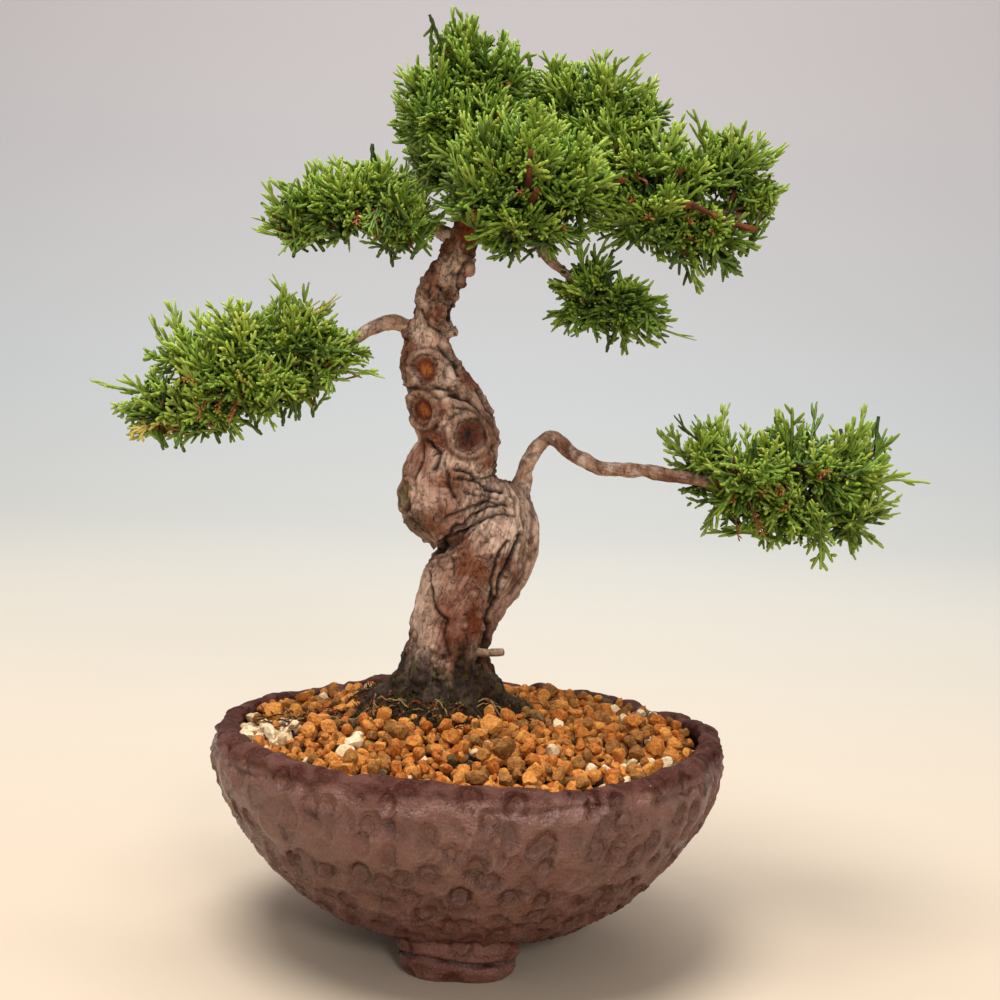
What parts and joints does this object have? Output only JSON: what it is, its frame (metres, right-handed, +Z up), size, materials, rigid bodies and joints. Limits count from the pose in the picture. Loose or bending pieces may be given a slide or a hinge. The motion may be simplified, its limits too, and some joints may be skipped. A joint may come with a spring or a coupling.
{
  "type": "potted juniper bonsai",
  "caption": "Dwarf juniper trained as a bonsai, with a gnarled trunk and cloud-like foliage pads, growing in a round hand-pinched clay bowl on small feet.",
  "frame": {"origin": "middle of the bounding box in plan, on the surface that the pot's feet stand on", "axes": "+Z up, the longest extent; the tree's front faces -Y, the shortest extent is along Y; +X to the right as seen from the front"},
  "size_m": [0.2646, 0.1702, 0.3121],
  "materials": {
    "clay": "satin",
    "mesh": "matte",
    "wire": "satin",
    "grit": "matte",
    "soil": "matte",
    "grain": "matte",
    "moss": "matte",
    "bark": "matte",
    "branch_bark": "matte",
    "leaf": "satin"
  },
  "bodies": {
    "root": {"pot_bowl": "clay", "pot_foot_front": "clay", "pot_foot_back_left": "clay", "pot_foot_back_right": "clay", "drain_mesh": "mesh", "mesh_clip": "wire", "drainage_grit": "grit", "root_soil": "soil", "surface_grains": "grain", "moss_mound": "moss", "trunk": "bark", "branch_left": "branch_bark", "branch_right": "branch_bark", "crown_branch_left": "branch_bark", "crown_branch_right": "branch_bark", "crown_branch_front": "branch_bark", "crown_branch_top_right": "branch_bark", "crown_branch_back": "branch_bark", "crown_branch_hanging": "branch_bark", "foliage_left": "leaf", "foliage_right": "leaf", "foliage_crown_top": "leaf", "foliage_crown_left": "leaf", "foliage_crown_right": "leaf", "foliage_crown_front": "leaf", "foliage_crown_top_right": "leaf", "foliage_crown_back": "leaf", "foliage_crown_hanging": "leaf"}
  },
  "joints": []
}
